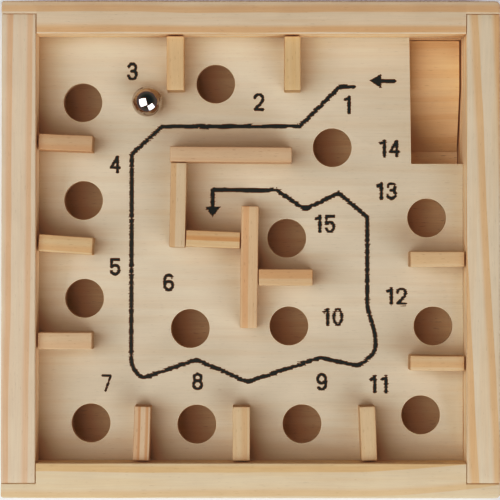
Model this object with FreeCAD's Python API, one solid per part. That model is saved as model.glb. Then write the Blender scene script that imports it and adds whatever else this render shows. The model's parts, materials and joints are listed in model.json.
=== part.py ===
"""Tilt maze game: a shallow pine tray with a holed play board, glued wall sticks and one loose steel ball.

Millimetres. +Z is up, +Y is towards the rear rail, +X is towards the right rail.
The origin is the centre of the footprint, on the surface that the game stands on.
Two boards are held in grooves of the front and rear rails: the play board above, the base panel below.
A ball that drops through a hole rolls on the base panel to the open corner at the rear right.
"""
import FreeCAD, Part
import math
import os

V = FreeCAD.Vector

# ---- driving dimensions -------------------------------------------------------------------
box_width = 130.4            # outside, along X
box_depth = 130.0            # outside, along Y
left_thickness = 9.0         # each rail was planed to its own thickness
right_thickness = 8.7
front_thickness = 9.2
rear_thickness = 8.6
tray_depth = 10.0            # rim of the rails down to the play board
board_thickness = 3.0
base_thickness = 3.0
base_recess = 2.0            # the base panel hangs clear of the table
ball_diameter = 8.0

# ---- clearances ---------------------------------------------------------------------------
fall_clearance = 2.2         # a hole is this much wider than the ball
gallery_clearance = 4.0      # headroom over the ball between base panel and play board
groove_play = 0.2            # a groove is this much taller than the board in it
groove_end_play = 0.3        # a board stops this far short of the bottom of its groove
board_side_gap = 0.2         # boards to the left and right rails
glue_gap = 0.05              # film of glue between rail and rail
shoulder_gap = 0.4           # open line between a side rail and the shoulder of its rebate
butt_gap = 0.15              # one wall stick to the next
rail_gap = 0.4               # wall stick to rail
ramp_gap = 0.1               # ramp to the rear rail
ramp_side_gap = 0.6          # ramp to the right rail
ball_gap = 0.02              # air under the ball
ball_stop_gap = 0.3          # the ball's travel ends this far from what stops it

# ---- rails --------------------------------------------------------------------------------
front_lip = 3.9              # wood of the front rail that covers the ends of the side rails
rear_lip = 3.4
groove_depth = 3.0
left_corner_radius = 0.7
right_corner_radius = 1.2

# ---- wall sticks --------------------------------------------------------------------------
stick_width = 4.4
stick_height = 8.0
short_stick = 14.2
middle_stick = 22.2
long_stick = 32.0

# ---- open corner and ramp -----------------------------------------------------------------
notch_rear_width = 14.3
notch_front_width = 13.8
notch_length = 33.5
landing_drop = 6.0           # board's upper face down to the flat landing of the ramp
landing_length = 13.4
slope_length = 16.1
ramp_under_board = 2.0       # the ramp reaches this far under the play board
ramp_toe = 0.4               # thickness left at the foot of the slope

# ---- heights and inner faces, worked out from the above -----------------------------------
gallery_height = ball_diameter + gallery_clearance
floor_z = base_recess + base_thickness
board_under_z = floor_z + gallery_height
board_z = board_under_z + board_thickness
rim_z = board_z + tray_depth
outer_x = box_width / 2
outer_y = box_depth / 2
left_x = -outer_x + left_thickness
right_x = outer_x - right_thickness
front_y = -outer_y + front_thickness
rear_y = outer_y - rear_thickness
hole_radius = (ball_diameter + fall_clearance) / 2
ball_radius = ball_diameter / 2

# ---- places on the play board, from the centre of the footprint ----------------------------
holes = {
    1: (21.7, 27.2),
    2: (-9.3, 44.1),
    3: (-44.6, 39.1),
    4: (-44.4, 13.1),
    5: (-44.1, -12.9),
    6: (-16.0, -20.9),
    7: (-42.3, -46.0),
    8: (-14.2, -46.3),
    9: (13.7, -46.2),
    10: (10.2, -20.2),
    11: (45.2, -43.8),
    12: (48.5, -20.2),
    13: (46.8, 8.5),
    15: (9.6, 3.1),
}
ball_x = -27.4
ball_y = 39.1

# name, rail that it stands against, place along that rail, degrees askew, width over the stock
rail_sticks = [
    ("stick_rear_left", "rear", -19.8, 0.0, 0.2),
    ("stick_rear_right", "rear", 11.0, 0.0, -0.1),
    ("stick_left_upper", "left", 28.0, -2.3, -0.1),
    ("stick_left_middle", "left", 1.3, -4.0, 0.2),
    ("stick_left_lower", "left", -24.0, 0.0, 0.1),
    ("stick_right_upper", "right", -2.5, 0.0, -0.3),
    ("stick_right_lower", "right", -29.8, -0.8, -0.4),
    ("stick_front_left", "front", -28.5, -1.6, -0.1),
    ("stick_front_middle", "front", -2.4, 0.0, 0.2),
    ("stick_front_right", "front", 30.9, 2.3, -0.2),
]
# the group of five in the middle is set out from its longest upright
upright_x = -0.35
upright_y = -4.6
upright_skew = -0.7
upright_trim = 0.2
arm_y = -7.3
link_y = 2.7
link_skew = -2.3
inner_wall_y = 11.7
inner_wall_skew = -1.2
inner_wall_trim = -0.2
top_bar_x = -5.2
top_bar_skew = -0.4
top_bar_trim = -0.3


def block(x0, x1, y0, y1, z0, z1):
    """A box between two corners."""
    return Part.makeBox(x1 - x0, y1 - y0, z1 - z0, V(x0, y0, z0))


def save(shape, node):
    """Writes one sub-part to its own file."""
    if len(shape.Solids) != 1 or not shape.isValid():
        raise ValueError(node + " is not one valid solid")
    shape.exportStep("parts/" + node + ".step")
    print(node, round(shape.Volume, 1), "mm3")


def round_outer_corners(rail):
    """Rounds the two upright edges of a rail that are outer corners of the game."""
    for side, radius in ((-1, left_corner_radius), (1, right_corner_radius)):
        corners = []
        for edge in rail.Edges:
            a = edge.Vertexes[0].Point
            b = edge.Vertexes[-1].Point
            upright = abs(a.x - b.x) < 1e-6 and abs(a.y - b.y) < 1e-6
            outermost = abs(a.x - side * outer_x) < 1e-6 and abs(abs(a.y) - outer_y) < 1e-6
            if upright and outermost:
                corners.append(edge)
        rail = rail.makeFillet(radius, corners)
    return rail


def cross_rail(inner_y, lip):
    """The front or rear rail: full width, rebated ends, two grooves in its inner face."""
    side = math.copysign(1, inner_y)

    def band(from_y, to_y):
        return sorted((from_y, to_y))

    y0, y1 = band(inner_y, side * outer_y)
    rail = block(-outer_x, outer_x, y0, y1, 0, rim_z)
    y0, y1 = band(inner_y, side * (outer_y - lip))
    rail = rail.cut(block(-outer_x, left_x + shoulder_gap, y0, y1, 0, rim_z))
    rail = rail.cut(block(right_x - shoulder_gap, outer_x, y0, y1, 0, rim_z))
    y0, y1 = band(inner_y, inner_y + side * groove_depth)
    for under, thickness in ((board_under_z, board_thickness), (base_recess, base_thickness)):
        rail = rail.cut(block(left_x, right_x, y0, y1, under, under + thickness + groove_play))
    return round_outer_corners(rail)


def side_rail(inner_x):
    """The left or right rail: a plain bar that stands in the rebates."""
    x0, x1 = sorted((inner_x, math.copysign(outer_x, inner_x)))
    front = -outer_y + front_lip + glue_gap
    rear = outer_y - rear_lip - glue_gap
    return block(x0, x1, front, rear, 0, rim_z)


def grooved_panel(under, thickness):
    """A thin panel between the side rails whose front and rear edges sit in the grooves."""
    reach = groove_depth - groove_end_play
    x0, x1 = left_x + board_side_gap, right_x - board_side_gap
    return block(x0, x1, front_y - reach, rear_y + reach, under, under + thickness)


def play_board():
    """The numbered board: fourteen round holes and the open corner at the rear right."""
    board = grooved_panel(board_under_z, board_thickness)
    for x, y in holes.values():
        board = board.cut(Part.makeCylinder(hole_radius, board_thickness, V(x, y, board_under_z)))
    rear = rear_y + groove_depth
    front = rear_y - notch_length
    slant = (notch_rear_width - notch_front_width) / notch_length
    outline = [
        V(right_x, front, board_under_z),
        V(right_x - notch_front_width, front, board_under_z),
        V(right_x - notch_rear_width - slant * groove_depth, rear, board_under_z),
        V(right_x, rear, board_under_z),
    ]
    notch = Part.Face(Part.makePolygon(outline + outline[:1])).extrude(V(0, 0, board_thickness))
    return board.cut(notch)


def return_ramp():
    """The block under the open corner: a slope up from the base panel and a flat landing."""
    left = right_x - notch_rear_width - ramp_under_board
    right = right_x - ramp_side_gap
    crest = rear_y - landing_length
    foot = crest - slope_length
    landing_z = board_z - landing_drop
    profile = [
        V(left, foot, floor_z),
        V(left, foot, floor_z + ramp_toe),
        V(left, crest, landing_z),
        V(left, rear_y - ramp_gap, landing_z),
        V(left, rear_y - ramp_gap, floor_z),
    ]
    return Part.Face(Part.makePolygon(profile + profile[:1])).extrude(V(right - left, 0, 0))


def stick(x, y, length, width, angle):
    """A wall stick on the play board, centred on x and y and turned by angle from the X axis."""
    bar = block(-length / 2, length / 2, -width / 2, width / 2, 0, stick_height)
    bar.rotate(V(0, 0, 0), V(0, 0, 1), angle)
    bar.translate(V(x, y, board_z))
    return bar


def stick_against(rail, along, skew, trim):
    """A short stick whose end faces a rail, far enough off that its skewed corner stays clear."""
    width = stick_width + trim
    lean = math.radians(abs(skew))
    reach = short_stick / 2 * math.cos(lean) + width / 2 * math.sin(lean) + rail_gap
    places = {
        "rear": (along, rear_y - reach, 90),
        "front": (along, front_y + reach, 90),
        "left": (left_x + reach, along, 0),
        "right": (right_x - reach, along, 0),
    }
    x, y, angle = places[rail]
    return stick(x, y, short_stick, width, angle + skew)


def butt(width, skew_between):
    """Room at the middle of a butt joint that keeps the end's corners a butt_gap away."""
    return butt_gap + width / 2 * math.sin(math.radians(abs(skew_between)))


def middle_sticks():
    """The five sticks round hole 15, each placed from the one that it butts against."""
    upright_width = stick_width + upright_trim
    inner_width = stick_width + inner_wall_trim
    bar_width = stick_width + top_bar_trim
    upright_slope = -math.tan(math.radians(upright_skew))
    inner_slope = -math.tan(math.radians(inner_wall_skew))
    bar_slope = math.tan(math.radians(top_bar_skew))
    link_reach_x = short_stick / 2 * math.cos(math.radians(link_skew))
    link_reach_y = short_stick / 2 * math.sin(math.radians(link_skew))

    upright_here = upright_x + upright_slope * (arm_y - upright_y)
    arm_end_x = upright_here + upright_width / 2 + butt(stick_width, upright_skew)
    arm_x = arm_end_x + short_stick / 2

    upright_here = upright_x + upright_slope * (link_y + link_reach_y - upright_y)
    link_end_x = upright_here - upright_width / 2 - butt(stick_width, link_skew - upright_skew)
    link_x = link_end_x - link_reach_x

    link_start_x = link_x - link_reach_x
    inner_here = link_start_x - butt(stick_width, link_skew - inner_wall_skew) - inner_width / 2
    inner_wall_x = inner_here + inner_slope * (inner_wall_y - link_y + link_reach_y)

    inner_top_y = inner_wall_y + middle_stick / 2
    bar_here = inner_top_y + butt(inner_width, inner_wall_skew - top_bar_skew) + bar_width / 2
    bar_y = bar_here - bar_slope * (inner_wall_x - top_bar_x)

    upright_angle = 90 + upright_skew
    inner_angle = 90 + inner_wall_skew
    return {
        "stick_middle_upright": stick(upright_x, upright_y, long_stick, upright_width, upright_angle),
        "stick_middle_arm": stick(arm_x, arm_y, short_stick, stick_width, 0),
        "stick_middle_link": stick(link_x, link_y, short_stick, stick_width, link_skew),
        "stick_inner_wall": stick(inner_wall_x, inner_wall_y, middle_stick, inner_width, inner_angle),
        "stick_top_bar": stick(top_bar_x, bar_y, long_stick, bar_width, top_bar_skew),
    }


def steel_ball():
    """The loose ball, at rest on the play board."""
    return Part.makeSphere(ball_radius, V(ball_x, ball_y, board_z + ball_gap + ball_radius))


def ball_travel():
    """How far the ball can run straight to the front left stick and straight to the rear rail."""
    stick_end = front_y + rail_gap + short_stick
    to_front = stick_end + ball_radius + ball_stop_gap - ball_y
    to_rear = rear_y - ball_radius - ball_stop_gap - ball_y
    return to_front, to_rear


os.makedirs("parts", exist_ok=True)
save(cross_rail(front_y, front_lip), "rail_front")
save(cross_rail(rear_y, rear_lip), "rail_rear")
save(side_rail(left_x), "rail_left")
save(side_rail(right_x), "rail_right")
save(play_board(), "play_board")
save(grooved_panel(base_recess, base_thickness), "base_panel")
save(return_ramp(), "return_ramp")
for name, rail, along, skew, trim in rail_sticks:
    save(stick_against(rail, along, skew, trim), name)
for name, shape in middle_sticks().items():
    save(shape, name)
save(steel_ball(), "steel_ball")
print("ball travel along Y:", [round(t, 2) for t in ball_travel()])
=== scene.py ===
# %% [markdown]
# # A tilt maze game in pine
# The real thing is a shallow tray of four pine rails. Two thin panels slide into grooves in the
# front and rear rails: a play board with fourteen holes, and a base panel under it. Fifteen short
# sticks are glued on the board as walls, a ramp fills the open corner, and one steel ball runs
# free. A way to go and the numbers of the holes are printed on the board.
#
# The CAD model gives every size and place. This script loads it as a fixed frame, then makes the
# surfaces that a maker would leave: eased edges, growth rings, plies, ink and polished steel.

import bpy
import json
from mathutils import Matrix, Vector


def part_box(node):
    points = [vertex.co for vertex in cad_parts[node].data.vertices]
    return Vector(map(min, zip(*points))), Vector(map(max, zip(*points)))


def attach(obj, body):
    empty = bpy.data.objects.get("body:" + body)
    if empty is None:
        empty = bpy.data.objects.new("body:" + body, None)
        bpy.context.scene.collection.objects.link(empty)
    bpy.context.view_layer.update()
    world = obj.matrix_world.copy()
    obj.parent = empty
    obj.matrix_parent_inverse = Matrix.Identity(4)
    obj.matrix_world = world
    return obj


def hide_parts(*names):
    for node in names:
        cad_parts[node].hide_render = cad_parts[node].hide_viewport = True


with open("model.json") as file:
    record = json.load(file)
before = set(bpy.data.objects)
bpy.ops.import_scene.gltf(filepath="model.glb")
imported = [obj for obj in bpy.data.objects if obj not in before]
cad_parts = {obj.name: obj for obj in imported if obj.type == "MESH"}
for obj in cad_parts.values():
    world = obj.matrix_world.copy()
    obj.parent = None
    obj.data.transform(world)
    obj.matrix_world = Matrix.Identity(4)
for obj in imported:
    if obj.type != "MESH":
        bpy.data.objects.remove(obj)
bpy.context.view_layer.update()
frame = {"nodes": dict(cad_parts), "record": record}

# %% Tools
import json
import math

import bmesh
import bpy
import numpy as np
from mathutils import Matrix, Vector, geometry

MM = 0.001

# %% [markdown]
# ## Measures from the frame
# Nothing is typed in twice. Heights and inner faces are read from the boxes of the CAD parts, and
# the centres of the holes from the record, which lists each hole as an opening.

# %% Read the measures
board_low, board_high = (np.array(c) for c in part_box("play_board"))
panel_low, panel_high = (np.array(c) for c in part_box("base_panel"))
left_low, left_high = (np.array(c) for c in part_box("rail_left"))
right_low = np.array(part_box("rail_right")[0])
ball_low, ball_high = (np.array(c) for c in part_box("steel_ball"))
board_top = board_high[2]
rim = left_high[2]
openings = frame["record"]["physics"]["openings"]
hole_centres = np.array(
    [np.mean(o["box_m"], axis=0)[:2] for o in openings if o["name"].startswith("hole_")]
)
print("board top", round(board_top / MM, 2), "mm, rim", round(rim / MM, 2), "mm")
print(len(hole_centres), "holes")

# %% [markdown]
# ## How a piece is made
# Most parts are bars: an outline carried along a line. One helper rounds the corners of an
# outline, one carries it along, and one puts the arrays into a mesh that rides on its body.
# Rounding the edges in the outline is better than a bevel afterwards, because the cross grain
# ends can have a different radius from the long edges, as sanding leaves them.

# %% Helpers for outlines and pieces
def eased(corners, cut, steps=4):
    """Rounds a closed outline. Each corner C is cut back by its own distance to A and B on its
    two edges, and a quadratic curve joins them: (1-t)^2 A + 2t(1-t) C + t^2 B."""
    corners = np.asarray(corners, float)
    cut = np.broadcast_to(np.asarray(cut, float), len(corners))[:, None]
    back = np.roll(corners, 1, axis=0) - corners
    ahead = np.roll(corners, -1, axis=0) - corners
    a = corners + cut * back / np.linalg.norm(back, axis=1)[:, None]
    b = corners + cut * ahead / np.linalg.norm(ahead, axis=1)[:, None]
    t = np.linspace(0, 1, steps)[None, :, None]
    curve = (1 - t) ** 2 * a[:, None] + 2 * t * (1 - t) * corners[:, None] + t**2 * b[:, None]
    return curve.reshape(-1, 2)


def carried(sections):
    """Joins point k of each section to point k of the next, and closes both ends with one face.
    sections is stations x ring x 3."""
    stations, ring = sections.shape[:2]
    start = np.arange(stations - 1)[:, None] * ring
    here = start + np.arange(ring)
    beside = start + np.roll(np.arange(ring), -1)
    quads = np.stack([here, beside, beside + ring, here + ring], axis=-1).reshape(-1, 4)
    ends = [list(range(ring)), list(range((stations - 1) * ring, stations * ring))]
    return sections.reshape(-1, 3), quads.tolist() + ends


def add_piece(name, points, faces, body="game", sharp=40):
    """Puts points in metres and faces into a closed mesh whose object sits at the origin."""
    mesh = bpy.data.meshes.new(name)
    mesh.from_pydata(points.tolist(), [], faces)
    work = bmesh.new()
    work.from_mesh(mesh)
    bmesh.ops.recalc_face_normals(work, faces=work.faces[:])
    work.to_mesh(mesh)
    work.free()
    mesh.shade_smooth()
    mesh.set_sharp_from_angle(angle=math.radians(sharp))
    piece = bpy.data.objects.new(name, mesh)
    bpy.context.scene.collection.objects.link(piece)
    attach(piece, body)
    print(f"{name}: {len(mesh.vertices)} points, {len(mesh.polygons)} faces")
    return piece


def waver(along, seed, depth):
    """A smooth unevenness from 0 to depth: the mean of three sines with seeded lengths of wave
    and phases, moved and scaled to that range."""
    draw = np.random.default_rng(seed)
    waves = draw.uniform(0.09, 0.5, 3)[:, None] / MM
    phases = draw.uniform(0, 2 * math.pi, 3)[:, None]
    total = np.sin(waves * np.asarray(along)[None, :] + phases).mean(axis=0)
    return depth * (0.5 + 0.5 * total)


# %% [markdown]
# ## The wall sticks
# The sticks were sawn from square strip, knocked off to length and lightly sanded. Each is an
# outline with eased corners carried along the stick. Near an end the outline shrinks by a
# quarter circle, so the end is eased too. The saw wanders a few hundredths of a millimetre, and
# that is the unevenness of the outline along the way.
#
# A stick stands a degree or two askew, so its box doesn't give its direction. The long axis of
# its eight corners does: it is the eigenvector with the larger eigenvalue.

# %% Make the sticks
long_edge = 0.32 * MM
glued_edge = 0.1 * MM
end_edge = 0.22 * MM
saw_depth = 0.05 * MM
stick_names = sorted(n for n in frame["nodes"] if n.startswith("stick_"))


def node_points(node):
    """All points of a CAD part as an n x 3 array."""
    mesh = frame["nodes"][node].data
    flat = np.empty(len(mesh.vertices) * 3)
    mesh.vertices.foreach_get("co", flat)
    return flat.reshape(-1, 3)


def stick_frame(node):
    """Centre, direction along, half length and half width of a stick."""
    points = node_points(node)
    centre = (points.min(axis=0) + points.max(axis=0)) / 2
    flat = points[:, :2] - centre[:2]
    along = np.linalg.eigh(flat.T @ flat)[1][:, 1]
    along = along * math.copysign(1, along.sum())
    across = np.array([-along[1], along[0]])
    return centre, along, across, abs(flat @ along).max(), abs(flat @ across).max()


def end_inset(distance, radius):
    """How far an edge of that radius stands back at a distance from the end: a quarter circle."""
    inside = np.clip(radius - distance, 0, None)
    return radius - np.sqrt(radius**2 - inside**2)


def stations_between(low, high, radius, spacing):
    """Places along a bar: close together over the eased ends, then evenly spaced."""
    turn = np.linspace(0, math.pi / 2, 5)
    near = radius * (1 - np.cos(turn))
    middle = np.linspace(low + radius, high - radius, max(3, round((high - low) / spacing)))
    return np.concatenate([low + near, middle[1:-1], high - near[::-1]])


def make_stick(node, seed):
    """One stick: an eased rectangle carried along its axis."""
    centre, along, across, half_length, half_width = stick_frame(node)
    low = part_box(node)[0].z
    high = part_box(node)[1].z
    half_height = (high - low) / 2
    corners = np.array([(-1, -1), (1, -1), (1, 1), (-1, 1)]) * [half_width, half_height]
    ring = eased(corners, [glued_edge, glued_edge, long_edge, long_edge])
    s = stations_between(-half_length, half_length, end_edge, 1.6 * MM)
    inset = end_inset(half_length - abs(s), end_edge) + waver(s, seed, saw_depth)
    sides = ring[None, :, 0] * (1 - inset[:, None] / half_width)
    heights = low + half_height + ring[None, :, 1] * (1 - inset[:, None] / half_height)
    sections = np.empty((len(s), len(ring), 3))
    sections[..., :2] = centre[:2] + s[:, None, None] * along + sides[..., None] * across
    sections[..., 2] = heights
    piece = add_piece("wall_" + node[6:], *carried(sections))
    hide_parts(node)
    return piece


sticks = {node: make_stick(node, seed) for seed, node in enumerate(stick_names)}

# %% [markdown]
# ## The rails
# The side rails are plain bars. The front and rear rails are rebated at both ends, where a lip
# covers the end of each side rail, and have two grooves for the panels. They are carried
# outlines too: two outlines with the same number of points, one with the grooves and one for the
# lip, where the groove corners lie on one line. Both stand at the shoulder, and the faces
# between them are the shoulder itself.

# %% Make the side rails
rail_edge = 0.35 * MM
rail_end_edge = 0.15 * MM
plane_depth = 0.04 * MM


def make_side_rail(node, seed):
    """A side rail: an eased rectangle carried from front to rear."""
    low, high = (np.array(c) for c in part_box(node))
    middle = (low + high) / 2
    half = (high - low) / 2
    corners = np.array([(-1, -1), (1, -1), (1, 1), (-1, 1)]) * half[[0, 2]]
    ring = eased(corners, rail_edge)
    s = stations_between(low[1], high[1], rail_end_edge, 3 * MM)
    inset = end_inset(half[1] - abs(s - middle[1]), rail_end_edge) + waver(s, seed, plane_depth)
    sections = np.empty((len(s), len(ring), 3))
    sections[..., 0] = middle[0] + ring[:, 0] * (1 - inset[:, None] / half[0])
    sections[..., 1] = s[:, None]
    sections[..., 2] = middle[2] + ring[:, 1] * (1 - inset[:, None] / half[2])
    piece = add_piece(node.replace("rail_", "side_rail_"), *carried(sections))
    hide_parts(node)
    return piece


rails = {
    "rail_left": make_side_rail("rail_left", 31),
    "rail_right": make_side_rail("rail_right", 32),
}

# %% Make the front and rear rails
shoulder_gap = 0.12 * MM
glue_film = 0.05 * MM
groove_play = 0.2 * MM
groove_end_play = 0.3 * MM
mouth_step = 0.4 * MM
groove_edge = 0.1 * MM
left_corner = 0.7 * MM
right_corner = 1.2 * MM


def make_cross_rail(node, seed):
    """The front or rear rail. Stations run from left to right; at the two shoulders the lip's
    outline and the grooved one share a station. At a corner of the game the outer face stands
    back by R(1 - sin t) at a distance R(1 - cos t) from the end."""
    low, high = (np.array(c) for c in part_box(node))
    at_rear = low[1] > 0
    outer, inner = (high[1], low[1]) if at_rear else (low[1], high[1])
    side = 1 if at_rear else -1
    if at_rear:
        lip = left_high[1] + glue_film
        groove = board_high[1] + groove_end_play
    else:
        lip = left_low[1] - glue_film
        groove = board_low[1] - groove_end_play
    panels = ((panel_low, panel_high), (board_low, board_high))
    slots = [(bottom[2], top[2] + groove_play) for bottom, top in panels]
    full = [(outer, low[2]), (inner, low[2])]
    flat = [(outer, low[2]), (lip, low[2])]
    for z0, z1 in slots:
        full += [(inner, z0), (groove, z0), (groove, z1), (inner, z1)]
        flat += [(lip, z0 - mouth_step), (lip, z0), (lip, z1), (lip, z1 + mouth_step)]
    full += [(inner, high[2]), (outer, high[2])]
    flat += [(lip, high[2]), (outer, high[2])]
    cuts = np.array([rail_edge] * 2 + [groove_edge] * 8 + [rail_edge] * 2)
    rings = {"full": eased(full, cuts), "lip": eased(flat, cuts)}
    inner_of = {"full": inner, "lip": lip}

    shoulders = (left_high[0] + shoulder_gap, right_low[0] - shoulder_gap)
    turn = np.linspace(0, math.pi / 2, 8)
    from_left = left_corner * (1 - np.cos(turn))
    from_right = right_corner * (1 - np.cos(turn))
    middle = np.linspace(shoulders[0], shoulders[1], 38)
    stations = [(low[0] + d, "lip") for d in from_left]
    stations += [(shoulders[0], "lip")]
    stations += [(x, "full") for x in middle]
    stations += [(shoulders[1], "lip")]
    stations += [(high[0] - d, "lip") for d in from_right[::-1]]
    x = np.array([p[0] for p in stations])
    kind = [p[1] for p in stations]
    near = end_inset(np.minimum(x - low[0], high[0] - x), rail_end_edge)
    back = np.maximum(end_inset(x - low[0], left_corner), end_inset(high[0] - x, right_corner))
    uneven = waver(x, seed, plane_depth)
    ring = np.stack([rings[k] for k in kind])
    inner_face = np.array([inner_of[k] for k in kind])[:, None]
    old_depth = outer - inner_face
    new_inner = inner_face + side * (near + uneven)[:, None]
    new_outer = outer - side * (back + uneven)[:, None]
    share = (ring[..., 0] - inner_face) / old_depth
    centre_z = (low[2] + high[2]) / 2
    half_z = (high[2] - low[2]) / 2
    sections = np.empty((len(x), ring.shape[1], 3))
    sections[..., 0] = x[:, None]
    sections[..., 1] = new_inner + share * (new_outer - new_inner)
    sections[..., 2] = centre_z + (ring[..., 1] - centre_z) * (1 - (near + uneven)[:, None] / half_z)
    piece = add_piece(node.replace("rail_", "cross_rail_"), *carried(sections))
    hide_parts(node)
    return piece


rails["rail_front"] = make_cross_rail("rail_front", 33)
rails["rail_rear"] = make_cross_rail("rail_rear", 34)

# %% [markdown]
# ## The play board
# The board is a flat panel with fourteen holes and an open corner. Its flat faces are filled
# between closed loops, and a rounded edge is carried round every loop, so each hole has the
# slightly softened rim that a drill and one pass of sandpaper leave. The corners of the outline
# are the points of the CAD board that lie on no hole. The CAD board stands 0.2 mm clear of the
# side rails. Here its left edge is pushed 0.05 mm into the rail and its right edge stops 0.05 mm
# short of the rail, so that only a hair line shows along them.

# %% Make the play board
board_edge = 0.14 * MM
outline_edge_share = 0.4
hole_margin = 0.3 * MM
hole_steps = 72
rim_turn = np.linspace(0, math.pi / 2, 4)


def into_wood(loop, outside):
    """The mitred direction from each point of a closed loop into the wood. It is the mean of the
    normals of its two edges, made longer at a corner so that both edges move by the same amount."""
    ahead = np.roll(loop, -1, axis=0) - loop
    ahead /= np.linalg.norm(ahead, axis=1)[:, None]
    normal = np.stack([-ahead[:, 1], ahead[:, 0]], axis=1)
    joined = normal + np.roll(normal, 1, axis=0)
    joined /= (joined**2).sum(axis=1)[:, None] / 2
    area = np.cross(loop, np.roll(loop, -1, axis=0)).sum()
    return joined * math.copysign(1, area) * (1 if outside else -1)


def rim_rings(loop, outside, low, high, edge):
    """A wall round a closed loop with rounded top and bottom edges. At turn t the ring stands
    edge(1 - sin t) into the wood and edge(1 - cos t) below the top."""
    inward = into_wood(loop, outside)
    set_in = edge * (1 - np.sin(rim_turn))
    heights = high - edge * (1 - np.cos(rim_turn))
    set_in = np.concatenate([set_in, set_in[::-1]])
    heights = np.concatenate([heights, (low + high - heights)[::-1]])
    rings = np.empty((len(set_in), len(loop), 3))
    rings[..., :2] = loop + inward * set_in[:, None, None]
    rings[..., 2] = heights[:, None]
    return rings


def pierced_panel(outline, holes, low, high, edge):
    """A panel with holes: rim rings round each loop, and filled faces above and below."""
    points = []
    faces = []
    tops = []
    bottoms = []
    count = 0
    for loop, outside in [(outline, True)] + [(h, False) for h in holes]:
        rounding = outline_edge_share * edge if outside else edge
        rings = rim_rings(loop, outside, low, high, rounding)
        number = np.arange(count, count + rings.shape[0] * len(loop)).reshape(rings.shape[:2])
        here = number[:-1]
        below = number[1:]
        quads = np.stack([here, np.roll(here, -1, 1), np.roll(below, -1, 1), below], axis=-1)
        faces += quads.reshape(-1, 4).tolist()
        points.append(rings.reshape(-1, 3))
        tops.append(number[0])
        bottoms.append(number[-1])
        count += number.size
    points = np.concatenate(points)
    for loops in (tops, bottoms):
        order = np.concatenate(loops)
        flat = [[Vector((points[i][0], points[i][1], 0)) for i in loop] for loop in loops]
        filled = geometry.tessellate_polygon(flat)
        faces += order[np.array(filled)].tolist()
    return points, faces


board_points = node_points("play_board")
gaps = np.linalg.norm(board_points[:, None, :2] - hole_centres[None], axis=2)
hole_radius = np.median(gaps.min(axis=0))
off_holes = board_points[gaps.min(axis=1) > hole_radius + hole_margin][:, :2]
outline = np.unique(np.round(off_holes, 6), axis=0)
outline = outline[np.argsort(np.arctan2(outline[:, 1], outline[:, 0]))]
at_left = outline[:, 0] < board_low[0] + glue_film
at_right = outline[:, 0] > board_high[0] - glue_film
outline[at_left, 0] = left_high[0] - glue_film
outline[at_right, 0] = right_low[0] - glue_film
turn = np.linspace(0, 2 * math.pi, hole_steps, endpoint=False)
circle = np.stack([np.cos(turn), np.sin(turn)], axis=1)
hole_loops = [centre + hole_radius * circle for centre in hole_centres]
board = add_piece(
    "numbered_board",
    *pierced_panel(outline, hole_loops, board_low[2], board_high[2], board_edge),
)
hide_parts("play_board")
print("hole diameter", round(2 * hole_radius / MM, 2), "mm,", len(outline), "corners")

# %% [markdown]
# ## The ramp
# A ball that drops through a hole comes out at the open corner, up a short slope. The ramp is one
# block: its side view, with eased corners, carried across from left to right. It is a little
# wider here than the CAD block, to leave a finer line beside the right rail.

# %% Make the ramp
ramp_widening = 0.2 * MM
ramp_side_gap = 0.2 * MM
ramp_top_edge = 0.3 * MM
ramp_foot_edge = 0.08 * MM
ramp_foot_height = 1 * MM
ramp_points = node_points("return_ramp")
ramp_low = ramp_points.min(axis=0)
ramp_high = ramp_points.max(axis=0)
ramp_high[0] = min(ramp_high[0] + ramp_widening, right_low[0] - ramp_side_gap)
side_view = np.unique(np.round(ramp_points[:, 1:], 6), axis=0)
middle = side_view.mean(axis=0)
side_view = side_view[np.argsort(np.arctan2(*(side_view - middle).T[::-1]))]
above_foot = side_view[:, 1] > ramp_low[2] + ramp_foot_height
ramp_cut = np.where(above_foot, ramp_top_edge, ramp_foot_edge)
ring = eased(side_view, ramp_cut, 5)
ramp_end = 0.2 * MM
s = stations_between(ramp_low[0], ramp_high[0], ramp_end, 4 * MM)
mid_x = (ramp_low[0] + ramp_high[0]) / 2
inset = end_inset((ramp_high[0] - ramp_low[0]) / 2 - abs(s - mid_x), ramp_end)
ring_middle = (ring.min(axis=0) + ring.max(axis=0)) / 2
ring_half = (ring.max(axis=0) - ring.min(axis=0)) / 2
sections = np.empty((len(s), len(ring), 3))
sections[..., 0] = s[:, None]
sections[..., 1:] = ring_middle + (ring - ring_middle) * (1 - inset[:, None, None] / ring_half)
ramp = add_piece("corner_ramp", *carried(sections))
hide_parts("return_ramp")

# %% [markdown]
# ## The ball
# A bearing ball is a surface of two parameters, an angle round and an angle down from the top:
# centre + r (sin b cos a, sin b sin a, cos b). Each pole is one point with a fan of triangles, so
# the ball is closed.

# %% Make the ball
round_steps = 128
down_steps = 64
ball_centre = (ball_low + ball_high) / 2
ball_radius = (ball_high[2] - ball_low[2]) / 2
a = np.linspace(0, 2 * math.pi, round_steps, endpoint=False)
b = np.linspace(0, math.pi, down_steps + 1)[1:-1, None]
shell = np.stack(
    [np.sin(b) * np.cos(a), np.sin(b) * np.sin(a), np.cos(b) * np.ones_like(a)], axis=-1
).reshape(-1, 3)
shell = np.concatenate([shell, [[0, 0, 1]], [[0, 0, -1]]])
number = np.arange((down_steps - 1) * round_steps).reshape(down_steps - 1, round_steps)
beside = np.roll(number, -1, axis=1)
quads = np.stack([number[:-1], number[1:], beside[1:], beside[:-1]], axis=-1).reshape(-1, 4)
top_fan = np.stack([np.full(round_steps, number.size), number[0], beside[0]], axis=-1)
low_fan = np.stack([np.full(round_steps, number.size + 1), beside[-1], number[-1]], axis=-1)
ball_faces = quads.tolist() + top_fan.tolist() + low_fan.tolist()
ball = add_piece(
    "polished_ball", ball_centre + ball_radius * shell, ball_faces, body="ball", sharp=180
)
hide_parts("steel_ball")

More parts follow.
